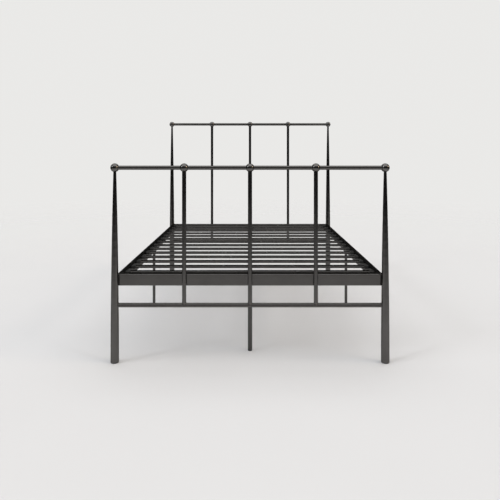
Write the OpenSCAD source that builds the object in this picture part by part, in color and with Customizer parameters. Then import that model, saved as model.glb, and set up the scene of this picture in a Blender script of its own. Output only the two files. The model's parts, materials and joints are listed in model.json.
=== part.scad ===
// Metal bed frame with tapered posts, ball joints, plain spindles and a steel slat deck.
// Millimetres, +Z up. The foot end is at -Y and the head end at +Y.
// The origin is on the floor, under the middle of the frame.

/* [Overall] */
// Distance between the axes of the left and right posts
post_span = 1400; // [1250:10:1600]
// Distance between the planes of the footboard and the headboard
frame_length = 1970; // [1800:10:2150]
// Height of the axis of the footboard's top rail
foot_height = 1008; // [850:1:1150]
// Height of the axis of the headboard's top rail
head_height = 1345; // [1160:1:1600]

/* [Posts] */
// Post diameter at the floor
post_foot_d = 43; // [40:0.5:48]
// Post diameter where it enters the ball
post_neck_d = 14; // [12:0.5:18]
// Fullness of the taper: 1 is a straight cone, more keeps the foot thick for longer
post_taper = 1.8; // [1.2:0.1:2.4]
// Wall of the post tube
post_wall = 2; // [1.5:0.1:3]

/* [Rails, spindles and balls] */
// Diameter of the top rails
top_rail_d = 22; // [18:0.5:26]
// Diameter of the lower rails
lower_rail_d = 23; // [22:0.5:28]
// Height of the axis of the lower rails
lower_rail_z = 297; // [200:1:350]
// Diameter of the spindles, less than that of the rails
spindle_d = 21.5; // [14:0.5:21.5]
// Distance from the middle spindle to the outer ones
spindle_pitch = 341; // [250:1:420]
// Diameter of the balls
ball_d = 45; // [40:0.5:55]
// Wall of the rail and spindle tubes
tube_wall = 1.5; // [1:0.1:2.5]

/* [Deck frame] */
// Height of the underside of the side rails and end rails
deck_bottom_z = 394; // [350:1:430]
// Height of the side rail and end rail section
rail_h = 60; // [50:1:70]
// Width of the side rail section
side_rail_w = 30; // [25:1:40]
// Thickness of the end rail section, front to back
end_rail_w = 25; // [20:1:35]
// Wall of the side rails and end rails
rail_wall = 1.8; // [1.5:0.1:2.5]
// Distance of each side rail's middle inboard of the post axis
side_rail_inset = 21; // [18:1:26]
// Width of the centre rail section
centre_rail_w = 25; // [20:1:30]

/* [Slats] */
// Number of slats
slat_count = 14; // [10:1:14]
// Width of a slat, along the bed
slat_w = 40; // [30:1:60]
// Thickness of a slat
slat_h = 12; // [10:0.5:14]
// Wall of a slat
slat_wall = 1.2; // [1:0.1:2]

/* [Support legs] */
// Diameter of the legs under the centre rail
centre_leg_d = 24; // [22:0.5:30]
// Diameter of the legs under the side rails
side_leg_d = 19; // [18:0.5:25]
// Distance from the footboard plane to the first centre leg
centre_leg_setback = 165; // [120:5:300]
// Wall of the leg tubes
leg_wall = 1.5; // [1:0.1:2]
// Height of the pad of a levelling foot
leveller_pad_h = 8; // [6:0.5:12]

/* [Hidden] */
$fn = 96;
FOOT = -1;
HEAD = 1;
LEFT = -1;
RIGHT = 1;
SLATS = [for (i = [1:slat_count]) str("slat_", i)];

// Painted steel, and the parts that are not painted
paint = [0.22, 0.22, 0.22];
slat_paint = [0.26, 0.26, 0.26];
black_plastic = [0.07, 0.07, 0.07];
zinc = [0.62, 0.63, 0.65];

post_x = post_span / 2;
plane_y = frame_length / 2;
spindle_xs = [-spindle_pitch, 0, spindle_pitch];

// Post: segments of its curved outline, its shoulder over the glide, and how far
// its neck goes into the ball above the rail's axis
post_steps = 24;
glide_h = 5;
glide_edge_r = 3;
glide_inset = 0.5;
neck_top = 5;
// The top rail's ends stop this far short of the post axis, inside the balls
rail_end_gap = 9;
// Gap between the top of a spindle and the rail, inside the ball
spindle_top_gap = 0.5;
// How far a cutting shape runs past the face it cuts
past = 1;

// Deck frame: the end rail stands just clear of the back of the spindles
spindle_clearance = 0.75;
end_rail_inset = spindle_d / 2 + spindle_clearance + end_rail_w / 2;
deck_y = plane_y - end_rail_inset - end_rail_w / 2;
deck_top_z = deck_bottom_z + rail_h;
deck_mid_z = deck_bottom_z + rail_h / 2;
side_rail_x = post_x - side_rail_inset;
side_inner_x = side_rail_x - side_rail_w / 2;
side_outer_x = side_rail_x + side_rail_w / 2;
box_corner_r = 4;
cap_flange_t = 2;
cap_plug_depth = 12;

// Bolted flange on each end of a side rail
flange_t = 5;
flange_w = 60;
flange_mid_x = side_outer_x - flange_w / 2;
flange_bolt_dz = 15;
flange_bolt_inset = 45;
flange_bolt_x = side_outer_x - flange_bolt_inset;
m8_r = 4;
m8_hole_r = 4.5;
m8_length = 25;
m8_head_across_flats = 13;
m8_head_h = 5.3;
m8_nut_h = 6.5;
washer_r = 8;
washer_t = 1.6;

// Slats end in pockets on the side rails, whose tops are level with the rails
slat_corner_r = 3;
holder_depth = 22;
holder_wall = 3;
peg_r = 4;
peg_length = 6;
slat_bottom_z = deck_top_z - holder_wall - slat_h;
slat_mid_z = slat_bottom_z + slat_h / 2;
slat_pitch = 2 * deck_y / slat_count;

// Centre rail, under the slats, carried at each end by a U-shaped hanger on the end rail
hanger_t = 3;
hanger_length = 40;
hanger_side_h = 26;
centre_rail_bottom_z = deck_bottom_z + hanger_t;
centre_rail_h = slat_bottom_z - centre_rail_bottom_z;
centre_rail_end_gap = 2;
centre_corner_r = 3;
centre_bolt_rise = 17;
centre_bolt_z = centre_rail_bottom_z + centre_bolt_rise;
hanger_y = deck_y - hanger_length / 2;
m6_r = 3;
m6_head_across_flats = 10;
m6_head_h = 4;
m6_nut_h = 5;
m6_tail = 8;

// Support legs
leg_plate_t = 3;
leg_plate_length = 70;
leg_screw_dy = 25;
screw_r = 3;
screw_head_r = 5.5;
screw_head_h = 3;
screw_length = 11;
insert_h = 22;
stem_length = 30;
stem_clearance = 0.05;
leveller_edge_r = 2.5;
centre_leg_y = plane_y - centre_leg_setback;
centre_leg_ys = [-centre_leg_y, 0, centre_leg_y];

function rail_z(end) = end == FOOT ? foot_height : head_height;

// Radius of a post at height z, where h is the height of its rail
function post_r(z, h) =
    post_neck_d / 2 + (post_foot_d - post_neck_d) / 2 * (1 - pow(min(z / h, 1), post_taper));

function post_edge(h, wall) =
    [for (i = [0:post_steps]) let (z = glide_h + (h - glide_h) * i / post_steps) [post_r(z, h) - wall, z]];

function reversed(list) = [for (i = [len(list) - 1:-1:0]) list[i]];

function slat_y(i) = -deck_y + slat_pitch * (i - 0.5);

// Circumscribed diameter of a hexagon
function hex_d(across_flats) = across_flats / cos(30);

module rounded_rect(w, h, r) {
    square([w - 2 * r, h], center = true);
    square([w, h - 2 * r], center = true);
    for (x = [-1, 1], y = [-1, 1])
        translate([x * (w / 2 - r), y * (h / 2 - r)]) circle(r);
}

module box_tube(w, h, r, wall, length) {
    linear_extrude(height = length, center = true)
        difference() {
            rounded_rect(w, h, r);
            rounded_rect(w - 2 * wall, h - 2 * wall, r - wall);
        }
}

// Turns a shape made along Z to lie along X, or along Y, with its own Y up
module along_x() rotate([90, 0, 90]) children();
module along_y() rotate([90, 0, 0]) children();

module rod(d, length) cylinder(d = d, h = length, center = true);

// Disc with a rounded lower edge, standing on z = 0
module rounded_pad(r, h, edge_r) {
    rotate_extrude() {
        square([r - edge_r, h]);
        translate([0, edge_r]) square([r, h - edge_r]);
        translate([r - edge_r, edge_r])
            intersection() {
                circle(edge_r);
                translate([0, -edge_r]) square(edge_r);
            }
    }
}

// ---- Headboard and footboard ----

module at_post(end, side) translate([side * post_x, end * plane_y, 0]) children();

// Full outline of a post, used to cut what meets it
module post_solid(h) {
    rotate_extrude()
        polygon(concat([[0, glide_h]], post_edge(h, 0),
                       [[post_neck_d / 2, h + neck_top], [0, h + neck_top]]));
}

module post_tube(h) {
    rotate_extrude()
        polygon(concat(post_edge(h, 0),
                       [[post_neck_d / 2, h + neck_top], [0, h + neck_top], [0, h + neck_top - post_wall]],
                       reversed(post_edge(h, post_wall))));
}

module post(end, side) {
    color(paint) at_post(end, side) post_tube(rail_z(end));
}

module post_pair(end) {
    for (side = [LEFT, RIGHT]) at_post(end, side) post_solid(rail_z(end));
}

module top_rail_rod(end, d, length) {
    translate([0, end * plane_y, rail_z(end)]) along_x() rod(d, length);
}

module lower_rail_rod(end, d) {
    translate([0, end * plane_y, lower_rail_z]) along_x() rod(d, 2 * post_x);
}

module top_rail(end) {
    length = 2 * (post_x - rail_end_gap);
    color(paint) difference() {
        top_rail_rod(end, top_rail_d, length);
        top_rail_rod(end, top_rail_d - 2 * tube_wall, length + 2 * past);
    }
}

module lower_rail(end) {
    color(paint) difference() {
        lower_rail_rod(end, lower_rail_d);
        lower_rail_rod(end, lower_rail_d - 2 * tube_wall);
        post_pair(end);
    }
}

module spindle(end, i) {
    length = rail_z(end) - top_rail_d / 2 - spindle_top_gap - lower_rail_z;
    color(paint) difference() {
        translate([spindle_xs[i], end * plane_y, lower_rail_z])
            difference() {
                cylinder(d = spindle_d, h = length);
                translate([0, 0, -past])
                    cylinder(d = spindle_d - 2 * tube_wall, h = length + 2 * past);
            }
        lower_rail_rod(end, lower_rail_d);
    }
}

// Balls on the posts are bored for the neck and, on their inner side, for the rail
module post_balls(end) {
    color(paint)
        for (side = [LEFT, RIGHT])
            difference() {
                at_post(end, side) translate([0, 0, rail_z(end)]) sphere(d = ball_d);
                at_post(end, side) post_solid(rail_z(end));
                top_rail_rod(end, top_rail_d, 2 * (post_x - rail_end_gap));
            }
}

// Balls on the spindles are bored right through for the rail, and from below for the spindle
module spindle_balls(end) {
    h = rail_z(end);
    socket_top = h - top_rail_d / 2 - spindle_top_gap;
    color(paint)
        for (x = spindle_xs)
            difference() {
                translate([x, end * plane_y, h]) sphere(d = ball_d);
                translate([x, end * plane_y, h]) along_x() rod(top_rail_d, ball_d);
                translate([x, end * plane_y, h - ball_d])
                    cylinder(d = spindle_d, h = socket_top - h + ball_d);
            }
}

// The end rail is cut to the posts and has a hole for each frame bolt in its inner face
module end_rail(end) {
    color(paint) difference() {
        translate([0, end * (plane_y - end_rail_inset), deck_mid_z])
            along_x() box_tube(end_rail_w, rail_h, box_corner_r, rail_wall, 2 * side_outer_x);
        post_pair(end);
        frame_bolt_places(end)
            translate([0, 0, -past]) cylinder(r = m8_hole_r, h = rail_wall + 2 * past);
    }
}

// Plastic caps in both ends of both end rails, cut away where they meet the posts
module end_rail_caps() {
    color(black_plastic)
        for (end = [FOOT, HEAD], side = [LEFT, RIGHT])
            difference() {
                translate([side * side_outer_x, end * (plane_y - end_rail_inset), deck_mid_z])
                    along_x() {
                        translate([0, 0, side * cap_flange_t / 2])
                            linear_extrude(height = cap_flange_t, center = true)
                                rounded_rect(end_rail_w, rail_h, box_corner_r);
                        translate([0, 0, -side * cap_plug_depth / 2])
                            linear_extrude(height = cap_plug_depth, center = true)
                                rounded_rect(end_rail_w - 2 * rail_wall, rail_h - 2 * rail_wall,
                                             box_corner_r - rail_wall);
                    }
                at_post(end, side) post_solid(rail_z(end));
            }
}

// Plastic glides: a rounded pad under the post and a plug inside it
module post_glides() {
    plug_h = 20;
    plug_gap = 0.1;
    color(black_plastic)
        for (end = [FOOT, HEAD], side = [LEFT, RIGHT])
            at_post(end, side) {
                rounded_pad(post_foot_d / 2 - glide_inset, glide_h, glide_edge_r);
                translate([0, 0, glide_h])
                    cylinder(r = post_foot_d / 2 - post_wall - plug_gap, h = plug_h);
            }
}

// ---- Side rails and their bolted ends ----

// Places a shape made along +Z at each frame bolt, starting at the end rail's inner
// face and running into the end rail
module frame_bolt_places(end) {
    for (side = [LEFT, RIGHT], dz = [-flange_bolt_dz, flange_bolt_dz])
        translate([side * flange_bolt_x, end * deck_y, deck_mid_z + dz])
            rotate([-end * 90, 0, 0])
                children();
}

module leg_screw_holes(x, y, z) {
    for (dy = [-leg_screw_dy, leg_screw_dy])
        translate([x, y + dy, z - past]) cylinder(r = screw_r, h = screw_length + past);
}

module side_rail(side) {
    color(paint) difference() {
        translate([side * side_rail_x, 0, deck_mid_z])
            along_y() box_tube(side_rail_w, rail_h, box_corner_r, rail_wall, 2 * (deck_y - flange_t));
        for (i = [1:slat_count])
            translate([side * side_rail_x, slat_y(i), slat_mid_z])
                rotate([0, -side * 90, 0]) cylinder(r = peg_r, h = side_rail_w);
        leg_screw_holes(side * side_rail_x, 0, deck_bottom_z);
    }
}

module side_rail_flanges() {
    color(paint)
        for (end = [FOOT, HEAD])
            difference() {
                for (side = [LEFT, RIGHT])
                    translate([side * flange_mid_x, end * (deck_y - flange_t / 2), deck_mid_z])
                        cube([flange_w, flange_t, rail_h], center = true);
                frame_bolt_places(end)
                    translate([0, 0, -flange_t - past])
                        cylinder(r = m8_hole_r, h = flange_t + 2 * past);
            }
}

module frame_bolts() {
    head_base = -flange_t - washer_t;
    color(zinc)
        for (end = [FOOT, HEAD])
            frame_bolt_places(end) {
                translate([0, 0, head_base]) cylinder(r = m8_r, h = m8_length);
                translate([0, 0, head_base - m8_head_h])
                    cylinder(d = hex_d(m8_head_across_flats), h = m8_head_h, $fn = 6);
            }
}

module frame_washers() {
    color(zinc)
        for (end = [FOOT, HEAD])
            frame_bolt_places(end)
                translate([0, 0, -flange_t - washer_t])
                    difference() {
                        cylinder(r = washer_r, h = washer_t);
                        translate([0, 0, -past]) cylinder(r = m8_r, h = washer_t + 2 * past);
                    }
}

// Nuts welded inside the end rails
module frame_weld_nuts() {
    color(zinc)
        for (end = [FOOT, HEAD])
            frame_bolt_places(end)
                translate([0, 0, rail_wall])
                    difference() {
                        cylinder(d = hex_d(m8_head_across_flats), h = m8_nut_h, $fn = 6);
                        translate([0, 0, -past]) cylinder(r = m8_r, h = m8_nut_h + 2 * past);
                    }
}

// ---- Centre rail ----

module centre_bolt_hole(end) {
    translate([0, end * hanger_y, centre_bolt_z])
        along_x() cylinder(r = m6_r, h = centre_rail_w + 4 * hanger_t, center = true);
}

module centre_rail() {
    color(paint) difference() {
        translate([0, 0, centre_rail_bottom_z + centre_rail_h / 2])
            along_y() box_tube(centre_rail_w, centre_rail_h, centre_corner_r, tube_wall,
                               2 * (deck_y - centre_rail_end_gap));
        for (end = [FOOT, HEAD]) centre_bolt_hole(end);
        for (y = centre_leg_ys) leg_screw_holes(0, y, centre_rail_bottom_z);
    }
}

// U-shaped hangers welded to the end rails
module centre_rail_hangers() {
    outer_w = centre_rail_w + 2 * hanger_t;
    outer_h = hanger_t + hanger_side_h;
    color(paint)
        for (end = [FOOT, HEAD])
            difference() {
                translate([0, end * hanger_y, deck_bottom_z + outer_h / 2])
                    cube([outer_w, hanger_length, outer_h], center = true);
                translate([0, end * hanger_y, centre_rail_bottom_z + hanger_side_h])
                    cube([centre_rail_w, hanger_length + 2 * past, 2 * hanger_side_h], center = true);
                centre_bolt_hole(end);
            }
}

module centre_rail_bolts() {
    half_w = centre_rail_w / 2 + hanger_t;
    color(zinc)
        for (end = [FOOT, HEAD])
            translate([-half_w, end * hanger_y, centre_bolt_z])
                along_x() {
                    cylinder(r = m6_r, h = 2 * half_w + m6_tail);
                    translate([0, 0, -m6_head_h])
                        cylinder(d = hex_d(m6_head_across_flats), h = m6_head_h, $fn = 6);
                }
}

module centre_rail_nuts() {
    half_w = centre_rail_w / 2 + hanger_t;
    color(zinc)
        for (end = [FOOT, HEAD])
            translate([half_w, end * hanger_y, centre_bolt_z])
                along_x()
                    difference() {
                        cylinder(d = hex_d(m6_head_across_flats), h = m6_nut_h, $fn = 6);
                        translate([0, 0, -past]) cylinder(r = m6_r, h = m6_nut_h + 2 * past);
                    }
}

// ---- Slats ----

module slat(i) {
    color(slat_paint)
        translate([0, slat_y(i), slat_mid_z])
            along_x() box_tube(slat_w, slat_h, slat_corner_r, slat_wall, 2 * (side_inner_x - holder_wall));
}

// Plastic pockets for the slat ends, each held by a peg in the side rail
module slat_holders() {
    outer_w = slat_w + 2 * holder_wall;
    outer_h = slat_h + 2 * holder_wall;
    color(black_plastic)
        for (side = [LEFT, RIGHT], i = [1:slat_count])
            translate([side * side_inner_x, slat_y(i), slat_mid_z])
                rotate([0, side * 90, 0]) {
                    cylinder(r = peg_r, h = peg_length);
                    translate([0, 0, -holder_depth])
                        difference() {
                            linear_extrude(height = holder_depth)
                                rounded_rect(outer_h, outer_w, slat_corner_r);
                            translate([0, 0, -past])
                                linear_extrude(height = holder_depth - holder_wall + past)
                                    rounded_rect(slat_h, slat_w, slat_corner_r);
                        }
                }
}

// ---- Support legs ----

module leg_tube(x, y, d, top_z) {
    length = top_z - leveller_pad_h;
    color(paint)
        translate([x, y, leveller_pad_h])
            difference() {
                cylinder(d = d, h = length);
                translate([0, 0, -past]) cylinder(d = d - 2 * leg_wall, h = length + 2 * past);
            }
}

module centre_leg(i) leg_tube(0, centre_leg_ys[i], centre_leg_d, centre_rail_bottom_z - leg_plate_t);

module side_leg(side) leg_tube(side * side_rail_x, 0, side_leg_d, deck_bottom_z - leg_plate_t);

module leg_plate(x, y, w, top_z) {
    difference() {
        translate([x, y, top_z - leg_plate_t / 2])
            cube([w, leg_plate_length, leg_plate_t], center = true);
        leg_screw_holes(x, y, top_z - leg_plate_t);
    }
}

module leg_plates() {
    side_margin = 2;
    color(paint) {
        for (y = centre_leg_ys) leg_plate(0, y, centre_rail_w, centre_rail_bottom_z);
        for (side = [LEFT, RIGHT])
            leg_plate(side * side_rail_x, 0, side_rail_w - side_margin, deck_bottom_z);
    }
}

module leg_screw_pair(x, y, top_z) {
    for (dy = [-leg_screw_dy, leg_screw_dy])
        translate([x, y + dy, top_z - leg_plate_t]) {
            cylinder(r = screw_r, h = screw_length);
            translate([0, 0, -screw_head_h]) cylinder(r = screw_head_r, h = screw_head_h);
        }
}

module leg_screws() {
    color(zinc) {
        for (y = centre_leg_ys) leg_screw_pair(0, y, centre_rail_bottom_z);
        for (side = [LEFT, RIGHT]) leg_screw_pair(side * side_rail_x, 0, deck_bottom_z);
    }
}

module leg_insert(x, y, d) {
    translate([x, y, leveller_pad_h])
        difference() {
            cylinder(d = d - 2 * leg_wall, h = insert_h);
            translate([0, 0, -past]) cylinder(r = m8_r, h = insert_h + 2 * past);
        }
}

// Threaded inserts pressed into the feet of the leg tubes
module leg_inserts() {
    color(black_plastic) {
        for (y = centre_leg_ys) leg_insert(0, y, centre_leg_d);
        for (side = [LEFT, RIGHT]) leg_insert(side * side_rail_x, 0, side_leg_d);
    }
}

// Levelling foot: a rounded pad on a threaded stem, screwed fully in
module leveller(x, y, d) {
    color(black_plastic)
        translate([x, y, 0]) {
            rounded_pad(d / 2, leveller_pad_h, leveller_edge_r);
            translate([0, 0, leveller_pad_h]) cylinder(r = m8_r - stem_clearance, h = stem_length);
        }
}

post(FOOT, LEFT);  // foot_post_left
post(FOOT, RIGHT);  // foot_post_right
top_rail(FOOT);  // foot_top_rail
lower_rail(FOOT);  // foot_lower_rail
spindle(FOOT, 0);  // foot_spindle_left
spindle(FOOT, 1);  // foot_spindle_middle
spindle(FOOT, 2);  // foot_spindle_right
post_balls(FOOT);  // foot_post_balls
spindle_balls(FOOT);  // foot_spindle_balls
end_rail(FOOT);  // foot_end_rail
post(HEAD, LEFT);  // head_post_left
post(HEAD, RIGHT);  // head_post_right
top_rail(HEAD);  // head_top_rail
lower_rail(HEAD);  // head_lower_rail
spindle(HEAD, 0);  // head_spindle_left
spindle(HEAD, 1);  // head_spindle_middle
spindle(HEAD, 2);  // head_spindle_right
post_balls(HEAD);  // head_post_balls
spindle_balls(HEAD);  // head_spindle_balls
end_rail(HEAD);  // head_end_rail
post_glides();
end_rail_caps();
side_rail(LEFT);  // side_rail_left
side_rail(RIGHT);  // side_rail_right
side_rail_flanges();
frame_bolts();
frame_washers();
frame_weld_nuts();
centre_rail();
centre_rail_hangers();
centre_rail_bolts();
centre_rail_nuts();
slat_holders();
centre_leg(0);  // centre_leg_front
centre_leg(1);  // centre_leg_middle
centre_leg(2);  // centre_leg_back
side_leg(LEFT);  // side_leg_left
side_leg(RIGHT);  // side_leg_right
leg_plates();
leg_screws();
leg_inserts();
leveller(0, centre_leg_ys[0], centre_leg_d);  // leveller_centre_front
leveller(0, centre_leg_ys[1], centre_leg_d);  // leveller_centre_middle
leveller(0, centre_leg_ys[2], centre_leg_d);  // leveller_centre_back
leveller(LEFT * side_rail_x, 0, side_leg_d);  // leveller_side_left
leveller(RIGHT * side_rail_x, 0, side_leg_d);  // leveller_side_right
for (i = [1:slat_count])
    slat(i);
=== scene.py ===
import json
import math

import bmesh
import bpy
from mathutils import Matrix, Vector


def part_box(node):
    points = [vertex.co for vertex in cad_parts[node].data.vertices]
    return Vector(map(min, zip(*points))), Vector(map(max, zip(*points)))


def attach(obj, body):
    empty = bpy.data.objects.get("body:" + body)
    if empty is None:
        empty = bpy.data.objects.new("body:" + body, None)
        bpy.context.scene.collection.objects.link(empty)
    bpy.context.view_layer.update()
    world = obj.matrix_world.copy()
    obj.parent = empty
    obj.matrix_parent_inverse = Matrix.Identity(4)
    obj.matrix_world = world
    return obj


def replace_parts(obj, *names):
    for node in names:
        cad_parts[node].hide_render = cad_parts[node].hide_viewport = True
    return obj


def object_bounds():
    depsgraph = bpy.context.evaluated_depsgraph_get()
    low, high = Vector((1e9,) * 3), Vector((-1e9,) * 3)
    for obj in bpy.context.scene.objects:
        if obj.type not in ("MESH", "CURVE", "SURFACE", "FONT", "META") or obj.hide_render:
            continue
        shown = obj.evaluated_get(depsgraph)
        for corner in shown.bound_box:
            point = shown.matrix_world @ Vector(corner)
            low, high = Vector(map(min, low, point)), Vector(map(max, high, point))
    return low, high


# Looks of a steel bed frame: tapered posts, ball joints, spindles and a slatted deck.
# Metres, +Z up, foot end at -Y. Places come from the CAD frame, and what it doesn't hold is named here.

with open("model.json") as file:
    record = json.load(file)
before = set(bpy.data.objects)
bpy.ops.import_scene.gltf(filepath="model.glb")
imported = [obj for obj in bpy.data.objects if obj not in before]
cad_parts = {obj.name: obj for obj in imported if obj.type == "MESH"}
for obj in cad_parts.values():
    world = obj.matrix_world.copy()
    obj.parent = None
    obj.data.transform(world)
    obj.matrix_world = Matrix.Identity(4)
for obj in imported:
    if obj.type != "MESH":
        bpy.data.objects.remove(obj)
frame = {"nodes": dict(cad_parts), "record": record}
cad_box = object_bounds()
nodes = frame["nodes"]
scene = bpy.context.scene
mm = 0.001
turn = 2 * math.pi
X, Y, Z = Vector((1, 0, 0)), Vector((0, 1, 0)), Vector((0, 0, 1))


# ---- Places taken from the frame ----

def middle(node):
    low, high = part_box(node)
    return (low + high) / 2


def size(node):
    low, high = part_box(node)
    return high - low


def solids(node):
    """Lowest and highest corner of each separate solid in a CAD node."""
    bm = bmesh.new()
    bm.from_mesh(nodes[node].data)
    bmesh.ops.remove_doubles(bm, verts=bm.verts, dist=0.01 * mm)
    unseen, boxes = set(bm.verts), []
    while unseen:
        frontier, places = [unseen.pop()], []
        while frontier:
            vert = frontier.pop()
            places.append(vert.co.copy())
            near = {edge.other_vert(vert) for edge in vert.link_edges} & unseen
            unseen -= near
            frontier += near
        low = Vector([min(place[i] for place in places) for i in range(3)])
        high = Vector([max(place[i] for place in places) for i in range(3)])
        boxes.append((low, high))
    bm.free()
    return sorted(boxes, key=lambda corners: (round(corners[0].y, 4), round(corners[0].x, 4), corners[0].z))


def post_outline(node):
    """Outer radius of a post at each height where its mesh has a ring."""
    axis = middle(node)
    rings = {}
    for vert in nodes[node].data.vertices:
        height = round(vert.co.z, 4)
        rings[height] = max(rings.get(height, 0), math.hypot(vert.co.x - axis.x, vert.co.y - axis.y))
    return sorted(rings.items())


def post_radius(outline, height):
    for (low, r_low), (high, r_high) in zip(outline, outline[1:]):
        if low <= height <= high:
            return r_low + (r_high - r_low) * (height - low) / (high - low)
    raise ValueError("the post doesn't reach that height")


legs = ("centre_leg_front", "centre_leg_middle", "centre_leg_back", "side_leg_left", "side_leg_right")
foot_plane_y = middle("foot_top_rail").y
camera_height = 1.079
camera_to_footboard = 2.682
camera_lens = 37.3
camera_shift = -0.192


# ---- Camera ----

def add_camera():
    """Level camera in front of the footboard, with the horizon above the frame's middle."""
    data = bpy.data.cameras.new("camera")
    data.sensor_width = 36
    data.lens = camera_lens
    data.shift_y = camera_shift
    data.clip_end = 200
    camera = bpy.data.objects.new("camera", data)
    camera.location = (0, foot_plane_y - camera_to_footboard, camera_height)
    camera.rotation_euler = (math.radians(90), 0, 0)
    scene.collection.objects.link(camera)
    scene.camera = camera


# ---- Materials ----

class Nodes:
    """A small helper that adds and joins shader nodes in one tree."""

    def __init__(self, tree):
        self.tree = tree
        tree.nodes.clear()

    def feed(self, socket, value):
        if isinstance(value, bpy.types.NodeSocket):
            self.tree.links.new(value, socket)
        else:
            socket.default_value = value

    def add(self, kind, inputs=None, **settings):
        node = self.tree.nodes.new(kind)
        for key, value in settings.items():
            setattr(node, key, value)
        for key, value in (inputs or {}).items():
            self.feed(node.inputs[key], value)
        return node

    def place(self):
        return self.add("ShaderNodeTexCoord").outputs["Object"]

    def noise(self, vector, scale, detail=2.0, rough=0.5):
        inputs = {"Vector": vector, "Scale": scale, "Detail": detail, "Roughness": rough}
        return self.add("ShaderNodeTexNoise", inputs).outputs["Fac"]

    def remap(self, value, low, high, to_low, to_high, kind="LINEAR"):
        inputs = {"Value": value, "From Min": low, "From Max": high, "To Min": to_low, "To Max": to_high}
        return self.add("ShaderNodeMapRange", inputs, interpolation_type=kind).outputs["Result"]

    def math(self, operation, a, b=0.0):
        return self.add("ShaderNodeMath", {0: a, 1: b}, operation=operation).outputs[0]

    def vector(self, operation, a, b=(0, 0, 0)):
        node = self.add("ShaderNodeVectorMath", {0: a, 1: b}, operation=operation)
        return node.outputs["Value" if operation in ("DOT_PRODUCT", "LENGTH") else "Vector"]

    def mix_color(self, factor, a, b):
        node = self.add("ShaderNodeMix", {"Factor": factor}, data_type="RGBA")
        self.feed(node.inputs[6], a)
        self.feed(node.inputs[7], b)
        return node.outputs[2]

    def bump(self, height, strength, distance):
        inputs = {"Height": height, "Strength": strength, "Distance": distance}
        return self.add("ShaderNodeBump", inputs).outputs["Normal"]

    def edges(self, radius):
        """1 along sharp edges, 0 on open faces and wide curves."""
        softened = self.add("ShaderNodeBevel", {"Radius": radius}).outputs["Normal"]
        true = self.add("ShaderNodeNewGeometry").outputs["Normal"]
        return self.remap(self.vector("DOT_PRODUCT", softened, true), 0.99, 0.85, 0, 1)


# How far the paint's red lies over its green, and its blue under it, as a share
paint_warmth = 0.035
# Scales of the noises in the paint: slow drift in tone, patches of gloss, rubbed spots and orange peel
drift_scale, gloss_scale, rub_scale, peel_scale = 7.0, 22.0, 60.0, 620.0
# Reach of the rubbed paint from an edge, and how many times paler it is
rub_reach, rub_paler = 0.8 * mm, 2.2


def grey(level, warmth=0.0):
    return (level * (1 + warmth), level, level * (1 - warmth), 1)


def new_material(name):
    material = bpy.data.materials.new(name)
    material.use_nodes = True
    return material, Nodes(material.node_tree)


def painted_steel(name, level, roughness, peel):
    """Charcoal coat over steel: orange peel, slow drift in tone and gloss, and paint rubbed thin on edges.

    Its dark base is metallic and its rim is tinted down, which gives the soft grey sheen of such a coat."""
    material, n = new_material(name)
    place = n.place()
    drift = n.noise(place, drift_scale, 3.0, 0.55)
    darker, lighter = grey(level * 0.94, paint_warmth), grey(level * 1.06, paint_warmth)
    tone = n.mix_color(n.remap(drift, 0.3, 0.7, 0, 1), darker, lighter)
    patches = n.remap(n.noise(place, rub_scale, 5.0, 0.65), 0.42, 0.68, 0, 0.6)
    rubbed = n.math("MULTIPLY", n.edges(rub_reach), patches)
    tone = n.mix_color(rubbed, tone, grey(level * rub_paler, paint_warmth))
    glossy, dull = roughness - 0.03, roughness + 0.04
    gloss = n.remap(n.noise(place, gloss_scale, 4.0, 0.6), 0.25, 0.75, glossy, dull)
    gloss = n.math("ADD", gloss, n.math("MULTIPLY", rubbed, 0.2))
    coat = n.add("ShaderNodeBsdfPrincipled", {
        "Base Color": tone, "Metallic": 1.0, "Roughness": gloss, "Specular Tint": grey(0.35),
        "Normal": n.bump(n.noise(place, peel_scale, 2.0, 0.45), peel, 0.2 * mm)})
    n.add("ShaderNodeOutputMaterial", {"Surface": coat.outputs[0]})
    return material


def moulded_plastic(name, level, roughness):
    """Black moulded plastic with a fine spark-eroded grain and paler, scuffed edges."""
    material, n = new_material(name)
    place = n.place()
    tone = n.mix_color(n.noise(place, 30.0, 3.0), grey(level * 0.85), grey(level * 1.2))
    scuffs = n.remap(n.noise(place, 140.0, 4.0, 0.7), 0.5, 0.75, 0, 0.6)
    tone = n.mix_color(n.math("MULTIPLY", n.edges(0.6 * mm), scuffs), tone, grey(level * 4))
    gloss = n.remap(n.noise(place, 60.0, 3.0), 0.3, 0.7, roughness - 0.06, roughness + 0.06)
    plastic = n.add("ShaderNodeBsdfPrincipled", {
        "Base Color": tone, "Roughness": gloss, "IOR": 1.49,
        "Normal": n.bump(n.noise(place, 2500.0, 2.0, 0.6), 0.25, 0.1 * mm)})
    n.add("ShaderNodeOutputMaterial", {"Surface": plastic.outputs[0]})
    return material


def zinc_plate(name):
    """Bright zinc plating with cloudy patches and fine marks."""
    material, n = new_material(name)
    place = n.place()
    cloud = n.noise(place, 120.0, 4.0, 0.6)
    tone = n.mix_color(cloud, (0.42, 0.43, 0.45, 1), (0.62, 0.62, 0.60, 1))
    gloss = n.remap(cloud, 0.3, 0.7, 0.24, 0.42)
    plate = n.add("ShaderNodeBsdfPrincipled", {
        "Base Color": tone, "Metallic": 1.0, "Roughness": gloss,
        "Normal": n.bump(n.noise(place, 4000.0, 2.0, 0.5), 0.15, 0.1 * mm)})
    n.add("ShaderNodeOutputMaterial", {"Surface": plate.outputs[0]})
    return material


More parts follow.
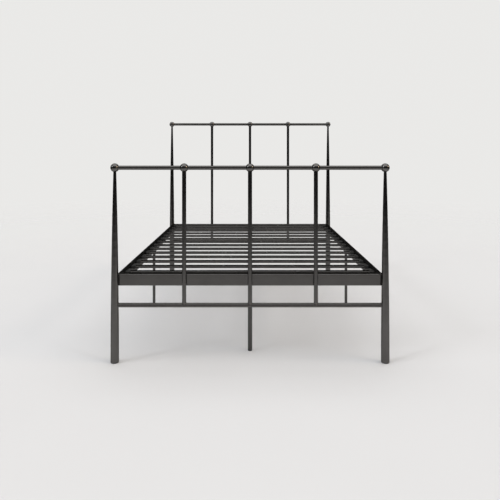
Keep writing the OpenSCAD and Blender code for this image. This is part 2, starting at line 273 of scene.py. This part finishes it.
materials = {
    "frame_paint": painted_steel("frame_coat", 0.12, 0.19, 0.008),
    "ball_paint": painted_steel("ball_coat", 0.145, 0.10, 0.006),
    "deck_paint": painted_steel("deck_coat", 0.13, 0.23, 0.03),
    "slat_paint": painted_steel("slat_coat", 0.12, 0.25, 0.03),
    # The legs' coat is the deck coat made darker: painted shade for the shade that falls under the bed
    "leg_painted_shade": painted_steel("leg_coat_painted_shade", 0.092, 0.23, 0.03),
    "black_plastic": moulded_plastic("moulded_black", 0.02, 0.45),
    "leveller_plastic": moulded_plastic("leveller_black", 0.022, 0.42),
    "fasteners": zinc_plate("zinc_plate"),
}


def paint(obj, slot):
    obj.data.materials.clear()
    obj.data.materials.append(materials[slot])


# ---- Mesh helpers ----

def new_piece(name, bm, slot, body="frame", sharp_above=40):
    """Turns a bmesh into a piece that rides on a body, smooth except at sharp edges."""
    bmesh.ops.recalc_face_normals(bm, faces=bm.faces)
    mesh = bpy.data.meshes.new(name)
    bm.to_mesh(mesh)
    bm.free()
    mesh.shade_smooth()
    mesh.set_sharp_from_angle(angle=math.radians(sharp_above))
    piece = bpy.data.objects.new(name, mesh)
    scene.collection.objects.link(piece)
    paint(piece, slot)
    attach(piece, body)
    return piece


def add_rings(bm, rings, closed_path=False):
    """Skins a list of rings of points into a solid. A closed path has no ends, and others are capped."""
    loops = [[bm.verts.new(point) for point in ring] for ring in rings]
    pairs = list(zip(loops, loops[1:]))
    if closed_path:
        pairs.append((loops[-1], loops[0]))
    for one, other in pairs:
        for i in range(len(one)):
            j = (i + 1) % len(one)
            bm.faces.new((one[i], one[j], other[j], other[i]))
    if not closed_path:
        bm.faces.new(loops[0])
        bm.faces.new(loops[-1])


def circle(centre, normal, radius, count):
    """Points round a circle, or round another outline where radius is a function of the angle."""
    across = Y if abs(normal.x) > 0.9 else X
    up = normal.cross(across)
    points = []
    for i in range(count):
        angle = turn * i / count
        r = radius(angle) if callable(radius) else radius
        points.append(centre + across * (r * math.cos(angle)) + up * (r * math.sin(angle)))
    return points


def quarter_turn(steps):
    return [turn / 4 * i / steps for i in range(steps + 1)]


def evenly(path, spacing, closed):
    """Evenly spaced points along a path, and the path's length."""
    points = path + [path[0]] if closed else path
    lengths = [0.0]
    for a, b in zip(points, points[1:]):
        lengths.append(lengths[-1] + (b - a).length)
    total = lengths[-1]
    count = max(8, round(total / spacing))
    even, k = [], 0
    for i in range(count if closed else count + 1):
        along = total * i / count
        while k < len(points) - 2 and lengths[k + 1] < along:
            k += 1
        even.append(points[k].lerp(points[k + 1], (along - lengths[k]) / (lengths[k + 1] - lengths[k])))
    return even, total


# ---- Weld beads ----

ripple_pitch = 1.6 * mm
ripple_depth = 0.1
points_per_ripple = 4
bead_sides = 8
saddle_points = 48


def add_bead(bm, path, bead_r, up, closed=True):
    """A rippled weld bead along a path, rounded off at its ends where the path is open."""
    points, total = evenly(path, ripple_pitch / points_per_ripple, closed)
    ripples = round(total / ripple_pitch)
    last = len(points) - 1
    rings = []
    for i, point in enumerate(points):
        before = points[i - 1] if closed else points[max(i - 1, 0)]
        after = points[(i + 1) % len(points)] if closed else points[min(i + 1, last)]
        along = (after - before).normalized()
        side = along.cross(up).normalized()
        r = bead_r * (1 - ripple_depth + ripple_depth * math.cos(turn * ripples * i / len(points)))
        if not closed:
            to_end = min(i, last - i) / last * total / bead_r
            r *= math.sqrt(max(0.02, 1 - max(0.0, 1 - to_end) ** 2))
        upward = side.cross(along)
        angles = [turn * k / bead_sides for k in range(bead_sides)]
        rings.append([point + side * (r * math.cos(a)) + upward * (r * math.sin(a)) for a in angles])
    add_rings(bm, rings, closed_path=closed)


def end_frame_welds(end):
    """Beads of one end of the bed: where its lower rail and end rail end, and at its spindles' feet."""
    bead_r = 1.8 * mm
    bm = bmesh.new()
    lower = middle(end + "_lower_rail")
    lower_r = size(end + "_lower_rail").z / 2
    for place in ("left", "middle", "right"):
        spindle = f"{end}_spindle_{place}"
        foot = Vector((middle(spindle).x, lower.y, 0))
        saddle = circle(foot, Z, size(spindle).x / 2, saddle_points)
        for point in saddle:
            point.z = lower.z + math.sqrt(lower_r ** 2 - (point.y - lower.y) ** 2)
        add_bead(bm, saddle, bead_r, Z)
    for place, side in (("left", -1), ("right", 1)):
        post = middle(f"{end}_post_{place}")
        outline = post_outline(f"{end}_post_{place}")
        saddle = circle(lower, X, lower_r, saddle_points)
        for point in saddle:
            reach = math.sqrt(post_radius(outline, point.z) ** 2 - (point.y - post.y) ** 2)
            point.x = post.x - side * reach
        add_bead(bm, saddle, bead_r, X)
        add_end_rail_bead(bm, end, post, outline, side, bead_r)
    new_piece(end + "_end_welds", bm, "frame_paint")


def add_end_rail_bead(bm, end, post, outline, side, bead_r):
    """Bead where an end rail meets a post: along its underside, up its front face and along its top."""
    low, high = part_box(end + "_end_rail")
    outward = -1 if end == "foot" else 1
    front = low.y if end == "foot" else high.y
    corner_r = 4 * mm
    tall = high.z - low.z

    def on_post(inset, rise):
        height, y = low.z + rise, front - outward * inset
        reach = math.sqrt(post_radius(outline, height) ** 2 - (y - post.y) ** 2)
        return Vector((post.x - side * reach, y, height))

    to_rail_end = abs(post.x) - high.x
    deepest = math.sqrt(post_radius(outline, high.z) ** 2 - to_rail_end ** 2) - abs(front - post.y)
    corner = [(corner_r * (1 - math.sin(a)), corner_r * (1 - math.cos(a))) for a in quarter_turn(6)]
    half = [(deepest, 0.0)] + corner
    path = [on_post(*place) for place in half] + [on_post(inset, tall - rise) for inset, rise in half[::-1]]
    add_bead(bm, path, bead_r, X, closed=False)


def deck_welds():
    """Beads on the side rails' flanges, the centre rail's hangers and the legs' plates."""
    bead_r, end_margin = 1.7 * mm, 4.5 * mm
    bm = bmesh.new()

    def add_upright(x, y, low_z, high_z):
        path = [Vector((x, y, low_z + end_margin)), Vector((x, y, high_z - end_margin))]
        add_bead(bm, path, bead_r, X, closed=False)

    rail_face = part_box("side_rail_right")[0].x
    for low, high in solids("side_rail_flanges"):
        side = 1 if low.x > 0 else -1
        add_upright(side * rail_face, high.y if high.y < 0 else low.y, low.z, high.z)
    for low, high in solids("centre_rail_hangers"):
        for x in (low.x, high.x):
            add_upright(x, low.y if low.y < 0 else high.y, low.z, high.z)
    for leg in legs:
        top = middle(leg) + Z * size(leg).z / 2
        add_bead(bm, circle(top, Z, size(leg).x / 2, saddle_points), bead_r, Z)
    new_piece("deck_welds", bm, "deck_paint")


# ---- Slat pockets ----

def rounded_outline(depth, half_y, half_z, corner_r, steps=4):
    """Points round a rectangle with rounded corners, at one depth along X."""
    points = []
    for quarter, (sy, sz) in enumerate(((1, 1), (-1, 1), (-1, -1), (1, -1))):
        for swing in quarter_turn(steps):
            angle = turn / 4 * quarter + swing
            points.append(Vector((depth, sy * (half_y - corner_r) + corner_r * math.cos(angle),
                                  sz * (half_z - corner_r) + corner_r * math.sin(angle))))
    return points


def add_pocket(bm, low, high, rail_face):
    """A moulded pocket: a collared mouth with a lead-in, ribs above and below, and a peg in the rail."""
    side = 1 if low.x > 0 else -1
    mouth = abs(rail_face - (low.x if side > 0 else high.x))
    half_y, half_z = (high.y - low.y) / 2, (high.z - low.z) / 2
    wall, corner_r, step, collar, lead_in = 3 * mm, 3 * mm, 1 * mm, 4 * mm, 0.8 * mm
    body = ((0, step + 0.3 * mm), (0.3 * mm, step), (mouth - collar, step), (mouth - collar, 0.2 * mm),
            (mouth - collar + 0.2 * mm, 0), (mouth - 0.5 * mm, 0), (mouth - 0.15 * mm, 0.15 * mm),
            (mouth, 0.5 * mm), (mouth, wall - lead_in), (mouth - 2 * lead_in, wall), (wall, wall))
    solids_of_pocket = [[
        rounded_outline(depth, half_y - inset, half_z - inset, corner_r - min(inset, 1 * mm))
        for depth, inset in body]]
    rib_half_t, rib_pitch = 0.6 * mm, 10 * mm
    rib_low, rib_high, rib_end = half_z - step - 0.5 * mm, half_z - 0.1 * mm, mouth - collar + 0.1 * mm
    profile = ((0, rib_low), (0, rib_high), (rib_end, rib_high), (rib_end, rib_low))
    for y in (-1.5 * rib_pitch, -0.5 * rib_pitch, 0.5 * rib_pitch, 1.5 * rib_pitch):
        for z in (-1, 1):
            solids_of_pocket.append([[Vector((depth, y + dy, z * rise)) for depth, rise in profile]
                                     for dy in (-rib_half_t, rib_half_t)])
    peg_r, peg_length = 3.9 * mm, 6 * mm
    peg = ((-peg_length, peg_r - 1 * mm), (1 * mm - peg_length, peg_r), (0.2 * mm, peg_r))
    solids_of_pocket.append([circle(Vector((depth, 0, 0)), X, r, 20) for depth, r in peg])
    centre = Vector((rail_face, (low.y + high.y) / 2, (low.z + high.z) / 2))
    for rings in solids_of_pocket:
        add_rings(bm, [[centre + Vector((-side * p.x, p.y, p.z)) for p in ring] for ring in rings])


def slat_pockets():
    rail_faces = {-1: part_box("side_rail_left")[1].x, 1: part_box("side_rail_right")[0].x}
    for side, name in ((-1, "slat_pockets_left"), (1, "slat_pockets_right")):
        bm = bmesh.new()
        for low, high in solids("slat_holders"):
            if low.x * side > 0:
                add_pocket(bm, low, high, rail_faces[side])
        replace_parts(new_piece(name, bm, "black_plastic"), "slat_holders")


# ---- Bolts, screws and nuts ----

class Thread:
    """A metric size: shank radius, pitch, and the hexagon head's width across flats and height."""

    def __init__(self, radius, pitch, across_flats, head):
        self.radius, self.pitch, self.across_flats, self.head = radius, pitch, across_flats, head
        self.depth = 0.54 * pitch


m8 = Thread(4 * mm, 1.25 * mm, 13 * mm, 5.3 * mm)
m6 = Thread(3 * mm, 1.0 * mm, 10 * mm, 4 * mm)
hex_points = 48
chamfer_slope = math.tan(math.radians(30))


def hexagon(across_flats):
    """Radius of a hexagon as a function of the angle, with a corner at angle 0."""
    return lambda angle: across_flats / 2 / math.cos(angle % (turn / 6) - turn / 12)


def add_threaded_rod(bm, start, axis, length, thread, play):
    """A shank with a helical thread and a pointed end. Play is how far its crest is under size."""
    count, rows_per_pitch = 24, 6
    point_length = thread.depth
    rows = round((length - point_length) / thread.pitch * rows_per_pitch)
    rings = []
    for row in range(rows + 1):
        along = (length - point_length) * row / rows

        def crest(angle, along=along):
            phase = (along / thread.pitch - angle / turn) % 1
            rise = 1.6 * (1 - abs(2 * phase - 1)) - 0.3
            return thread.radius - play - thread.depth * (1 - min(1, max(0, rise)))
        rings.append(circle(start + axis * along, axis, crest, count))
    rings.append(circle(start + axis * length, axis, thread.radius - thread.depth - point_length, count))
    add_rings(bm, rings)


def chamfered_hexagon(seat, axis, thread, height):
    """Hexagon ring at about this height over seat, cut by a cone so that the corners are scalloped."""
    ring = circle(seat, axis, hexagon(thread.across_flats), hex_points)
    crown_r = 0.475 * thread.across_flats
    drops = [((point - seat).length - crown_r) * chamfer_slope for point in ring]
    return [point + axis * (height - drop) for point, drop in zip(ring, drops)], crown_r


def add_hex_bolt(bm, seat, axis, thread, shank):
    """Hexagon head standing from seat along axis, and its threaded shank the other way."""
    crown, crown_r = chamfered_hexagon(seat, axis, thread, thread.head)
    rings = [circle(seat, axis, hexagon(thread.across_flats), hex_points), crown]
    for height, r in ((thread.head, crown_r), (thread.head - 0.3 * mm, crown_r - 0.6 * mm)):
        rings.append(circle(seat + axis * height, axis, r, hex_points))
    add_rings(bm, rings)
    overlap = 0.5 * mm
    add_threaded_rod(bm, seat + axis * overlap, -axis, shank + overlap, thread, 0.05 * mm)


def hex_bolts():
    """Bolts through the side rails' flanges, heads to the middle, and through the centre rail's ends."""
    bm = bmesh.new()
    for low, high in solids("frame_bolts"):
        inward = Y if low.y < 0 else -Y
        length = high.y - low.y
        head_end = (low + high) / 2 + inward * length / 2
        add_hex_bolt(bm, head_end - inward * m8.head, inward, m8, length - m8.head)
    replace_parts(new_piece("hex_bolts_m8", bm, "fasteners"), "frame_bolts")
    bm = bmesh.new()
    for low, high in solids("centre_rail_bolts"):
        seat = Vector((low.x + m6.head, (low.y + high.y) / 2, (low.z + high.z) / 2))
        add_hex_bolt(bm, seat, -X, m6, high.x - seat.x)
    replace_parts(new_piece("hex_bolts_m6", bm, "fasteners"), "centre_rail_bolts")


def lock_nuts():
    """Hexagon nuts with scalloped corners on both sides and a rolled collar."""
    collar, bore = 1.2 * mm, m6.radius - 0.05 * mm
    bm = bmesh.new()
    for low, high in solids("centre_rail_nuts"):
        seat = Vector((low.x, (low.y + high.y) / 2, (low.z + high.z) / 2))
        height = high.x - low.x
        top, crown_r = chamfered_hexagon(seat, X, m6, height - collar)
        under = [Vector((2 * seat.x + height - collar - point.x, point.y, point.z)) for point in top]
        rings = [circle(seat, X, bore, hex_points), circle(seat, X, crown_r, hex_points), under, top]
        rolled = ((height - collar, crown_r), (height - collar, crown_r - 0.4 * mm),
                  (height - 0.3 * mm, crown_r - 0.5 * mm), (height, crown_r - 0.9 * mm), (height, bore))
        for along, r in rolled:
            rings.append(circle(seat + X * along, X, r, hex_points))
        add_rings(bm, rings, closed_path=True)
    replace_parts(new_piece("lock_nuts_m6", bm, "fasteners"), "centre_rail_nuts")


def leg_screws():
    """Button-head screws with a hexagon socket, up through the legs' plates."""
    head_h, socket, socket_depth = 3 * mm, hexagon(4 * mm), 2 * mm
    dome = ((0.0, 1.0), (0.12, 1.0), (0.5, 0.93), (0.8, 0.8), (0.95, 0.66), (1.0, 0.5))
    bm = bmesh.new()
    for low, high in solids("leg_screws"):
        head_r = (high.x - low.x) / 2
        seat = Vector(((low.x + high.x) / 2, (low.y + high.y) / 2, low.z + head_h))
        rings = [circle(seat - Z * head_h * down, -Z, head_r * share, hex_points) for down, share in dome]
        for down in (head_h, head_h - socket_depth):
            rings.append(circle(seat - Z * down, -Z, socket, hex_points))
        add_rings(bm, rings)
        overlap = 0.5 * mm
        add_threaded_rod(bm, seat - Z * overlap, Z, high.z - seat.z + overlap, m6, 0.05 * mm)
    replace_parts(new_piece("button_screws_m6", bm, "fasteners"), "leg_screws")


# ---- Levelling feet ----

def levelling_foot(node, body):
    """A moulded pad with a fluted grip, and its threaded steel stem."""
    low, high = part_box(node)
    centre = Vector(((low.x + high.x) / 2, (low.y + high.y) / 2, low.z))
    pad_r, pad_h, edge_r = (high.x - low.x) / 2, 8 * mm, 2.5 * mm
    flutes, flute_depth, points_per_flute = 24, 0.7 * mm, 6
    flute_start, flute_end, run_out = edge_r + 0.9 * mm, pad_h - 1.1 * mm, 0.5 * mm

    def grip(inset, depth):
        return lambda angle: pad_r - inset - depth * (0.5 + 0.5 * math.cos(flutes * angle)) ** 2

    profile = [(edge_r * (1 - math.cos(a)), edge_r * (1 - math.sin(a)), 0) for a in quarter_turn(5)]
    profile += [(flute_start - run_out, 0, 0), (flute_start, 0, flute_depth), (flute_end, 0, flute_depth),
                (flute_end + run_out, 0, 0), (pad_h - 0.35 * mm, 0.1 * mm, 0), (pad_h, 0.6 * mm, 0)]
    bm = bmesh.new()
    add_rings(bm, [circle(centre + Z * height, Z, grip(inset, depth), flutes * points_per_flute)
                   for height, inset, depth in profile])
    pad = new_piece(node + "_pad", bm, "leveller_plastic", body)
    bm = bmesh.new()
    overlap = 1 * mm
    add_threaded_rod(bm, centre + Z * (pad_h - overlap), Z, high.z - low.z - pad_h + overlap, m8, 0.08 * mm)
    stem = new_piece(node + "_stem", bm, "fasteners", body)
    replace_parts(pad, node)
    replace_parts(stem, node)


# ---- Softened edges ----

def soften(node, width):
    """Rounds the sharp edges of a sheared or moulded part, without changing its mesh."""
    weld = nodes[node].modifiers.new("weld", "WELD")
    weld.merge_threshold = 0.01 * mm
    bevel = nodes[node].modifiers.new("bevel", "BEVEL")
    bevel.width = width
    bevel.segments = 2
    bevel.limit_method = "ANGLE"
    bevel.angle_limit = math.radians(50)
    nodes[node].modifiers.new("shading", "WEIGHTED_NORMAL").keep_sharp = False


# ---- Floor, world and lamps ----

floor_radius = 9.0
# Away from the bed the lit floor falls off, to half at this distance, so that tubes reflect a darker room
lit_reach = 2.8
pale = (0.822, 0.817, 0.803, 1)
floor_darker, floor_lighter = (0.763, 0.768, 0.785, 1), (0.783, 0.788, 0.805, 1)


def add_floor():
    """Pale floor that fades out all round, into a backdrop of nearly its own tone."""
    mesh = bpy.data.meshes.new("floor")
    bm = bmesh.new()
    bmesh.ops.create_circle(bm, cap_ends=True, segments=96, radius=floor_radius)
    bm.to_mesh(mesh)
    bm.free()
    floor = bpy.data.objects.new("floor", mesh)
    scene.collection.objects.link(floor)
    material, n = new_material("floor_pale")
    place = n.place()
    flat = n.vector("MULTIPLY", n.vector("ABSOLUTE", place), (1, 1, 0))
    beyond = n.vector("LENGTH", n.vector("MAXIMUM", n.vector("SUBTRACT", flat, cad_box[1])))
    falloff = n.math("POWER", n.math("DIVIDE", beyond, lit_reach), 1.7)
    rim = n.remap(n.vector("LENGTH", place), 0.7 * floor_radius, floor_radius, 1, 0)
    kept = n.math("DIVIDE", rim, n.math("ADD", falloff, 1.0))
    tone = n.mix_color(n.noise(place, 1.5, 2.0), floor_darker, floor_lighter)
    matt = n.add("ShaderNodeBsdfPrincipled", {
        "Base Color": tone, "Roughness": 0.8, "Specular IOR Level": 0.1})
    clear = n.add("ShaderNodeBsdfTransparent")
    both = n.add("ShaderNodeMixShader", {0: kept, 1: clear.outputs[0], 2: matt.outputs[0]})
    n.add("ShaderNodeOutputMaterial", {"Surface": both.outputs[0]})
    floor.data.materials.append(material)


# Softboxes in the far surroundings: the direction that each one lies in, its middle and half size as slopes
# across and up from that direction, the width of its soft edge, its colour and its strength
softboxes = (
    ((0.0, 0.0, 1.0), (0.0, 0.15), (0.95, 1.0), 0.3, (1.0, 0.995, 0.985), 1.15),
    ((0.0, 0.0, 1.0), (0.0, -0.9), (1.1, 1.9), 0.5, (1.0, 0.995, 0.985), 0.2),
    ((-0.84, -0.31, 0.45), (0.0, 0.0), (0.16, 0.16), 0.05, (0.95, 0.98, 1.0), 5.0),
    ((0.88, -0.19, 0.42), (0.0, 0.0), (0.16, 0.16), 0.05, (1.0, 0.82, 0.62), 6.5),
    ((0.88, -0.19, 0.38), (0.0, 0.0), (0.3, 0.25), 0.15, (1.0, 0.66, 0.36), 0.3),
)
room_strength = 0.03


def softbox(n, look, toward, middle_slope, half_slope, edge):
    """1 where the look direction falls on the softbox, 0 outside it, with a soft edge between."""
    toward = Vector(toward).normalized()
    across = X if toward.z > 0.99 else toward.cross(Z).normalized()
    up = Y if toward.z > 0.99 else across.cross(toward)
    ahead = n.vector("DOT_PRODUCT", look, toward)
    share = n.math("GREATER_THAN", ahead, 0.0)
    for axis, place, half in zip((across, up), middle_slope, half_slope):
        slope = n.math("DIVIDE", n.vector("DOT_PRODUCT", look, axis), ahead)
        off = n.math("ABSOLUTE", n.math("SUBTRACT", slope, place))
        share = n.math("MULTIPLY", share, n.remap(off, half - edge, half + edge, 1, 0, "SMOOTHSTEP"))
    return share


def add_world():
    """Studio of softboxes in a dim room, in front of a pale backdrop that only the camera sees."""
    world = bpy.data.worlds.new("studio")
    world.use_nodes = True
    scene.world = world
    n = Nodes(world.node_tree)
    look = n.add("ShaderNodeTexCoord").outputs["Generated"]
    light = n.add("ShaderNodeBackground", {"Color": grey(1), "Strength": room_strength}).outputs[0]
    for toward, place, half, edge, color, strength in softboxes:
        share = n.math("MULTIPLY", softbox(n, look, toward, place, half, edge), strength)
        box = n.add("ShaderNodeBackground", {"Color": (*color, 1), "Strength": share}).outputs[0]
        light = n.add("ShaderNodeAddShader", {0: light, 1: box}).outputs[0]
    seen = n.add("ShaderNodeBackground", {"Color": pale, "Strength": 1.0})
    to_camera = n.add("ShaderNodeLightPath").outputs["Is Camera Ray"]
    both = n.add("ShaderNodeMixShader", {0: to_camera, 1: light, 2: seen.outputs[0]})
    n.add("ShaderNodeOutputWorld", {"Surface": both.outputs[0]})


# Lamps that light the floor and don't show in the tubes: direction, width in degrees, colour and strength
lamps = {
    "overhead": ((0.0, 0.0, 1.0), 100, (1.0, 0.995, 0.985), 0.1),
    "left_key": ((-0.80, -0.50, 0.50), 9, (0.97, 0.985, 1.0), 0.32),
    "right_key": ((0.80, -0.50, 0.50), 9, (1.0, 0.93, 0.85), 0.32),
}


def add_lamp(name, source, width, color, strength):
    data = bpy.data.lights.new(name, "SUN")
    data.angle = math.radians(width)
    data.energy = strength
    data.color = color
    lamp = bpy.data.objects.new(name, data)
    lamp.rotation_euler = Vector(source).to_track_quat("Z", "Y").to_euler()
    lamp.visible_glossy = False
    scene.collection.objects.link(lamp)


# ---- Build ----

add_camera()
for part in frame["record"]["subparts"]:
    paint(nodes[part["node"]], part["material_slot"])
# Painted shade: the legs take a darker coat than the rest of the deck, for the shade under the bed
for leg in legs:
    paint(nodes[leg], "leg_painted_shade")
for node, width in (("side_rail_flanges", 0.7), ("centre_rail_hangers", 0.5), ("leg_plates", 0.5),
                    ("frame_washers", 0.25), ("end_rail_caps", 0.4)):
    soften(node, width * mm)
for end in ("foot", "head"):
    end_frame_welds(end)
deck_welds()
slat_pockets()
hex_bolts()
lock_nuts()
leg_screws()
for place in ("centre_front", "centre_middle", "centre_back", "side_left", "side_right"):
    levelling_foot("leveller_" + place, place + "_leveller")
add_floor()
add_world()
for name, lamp in lamps.items():
    add_lamp(name, *lamp)
scene.view_settings.view_transform = "Standard"
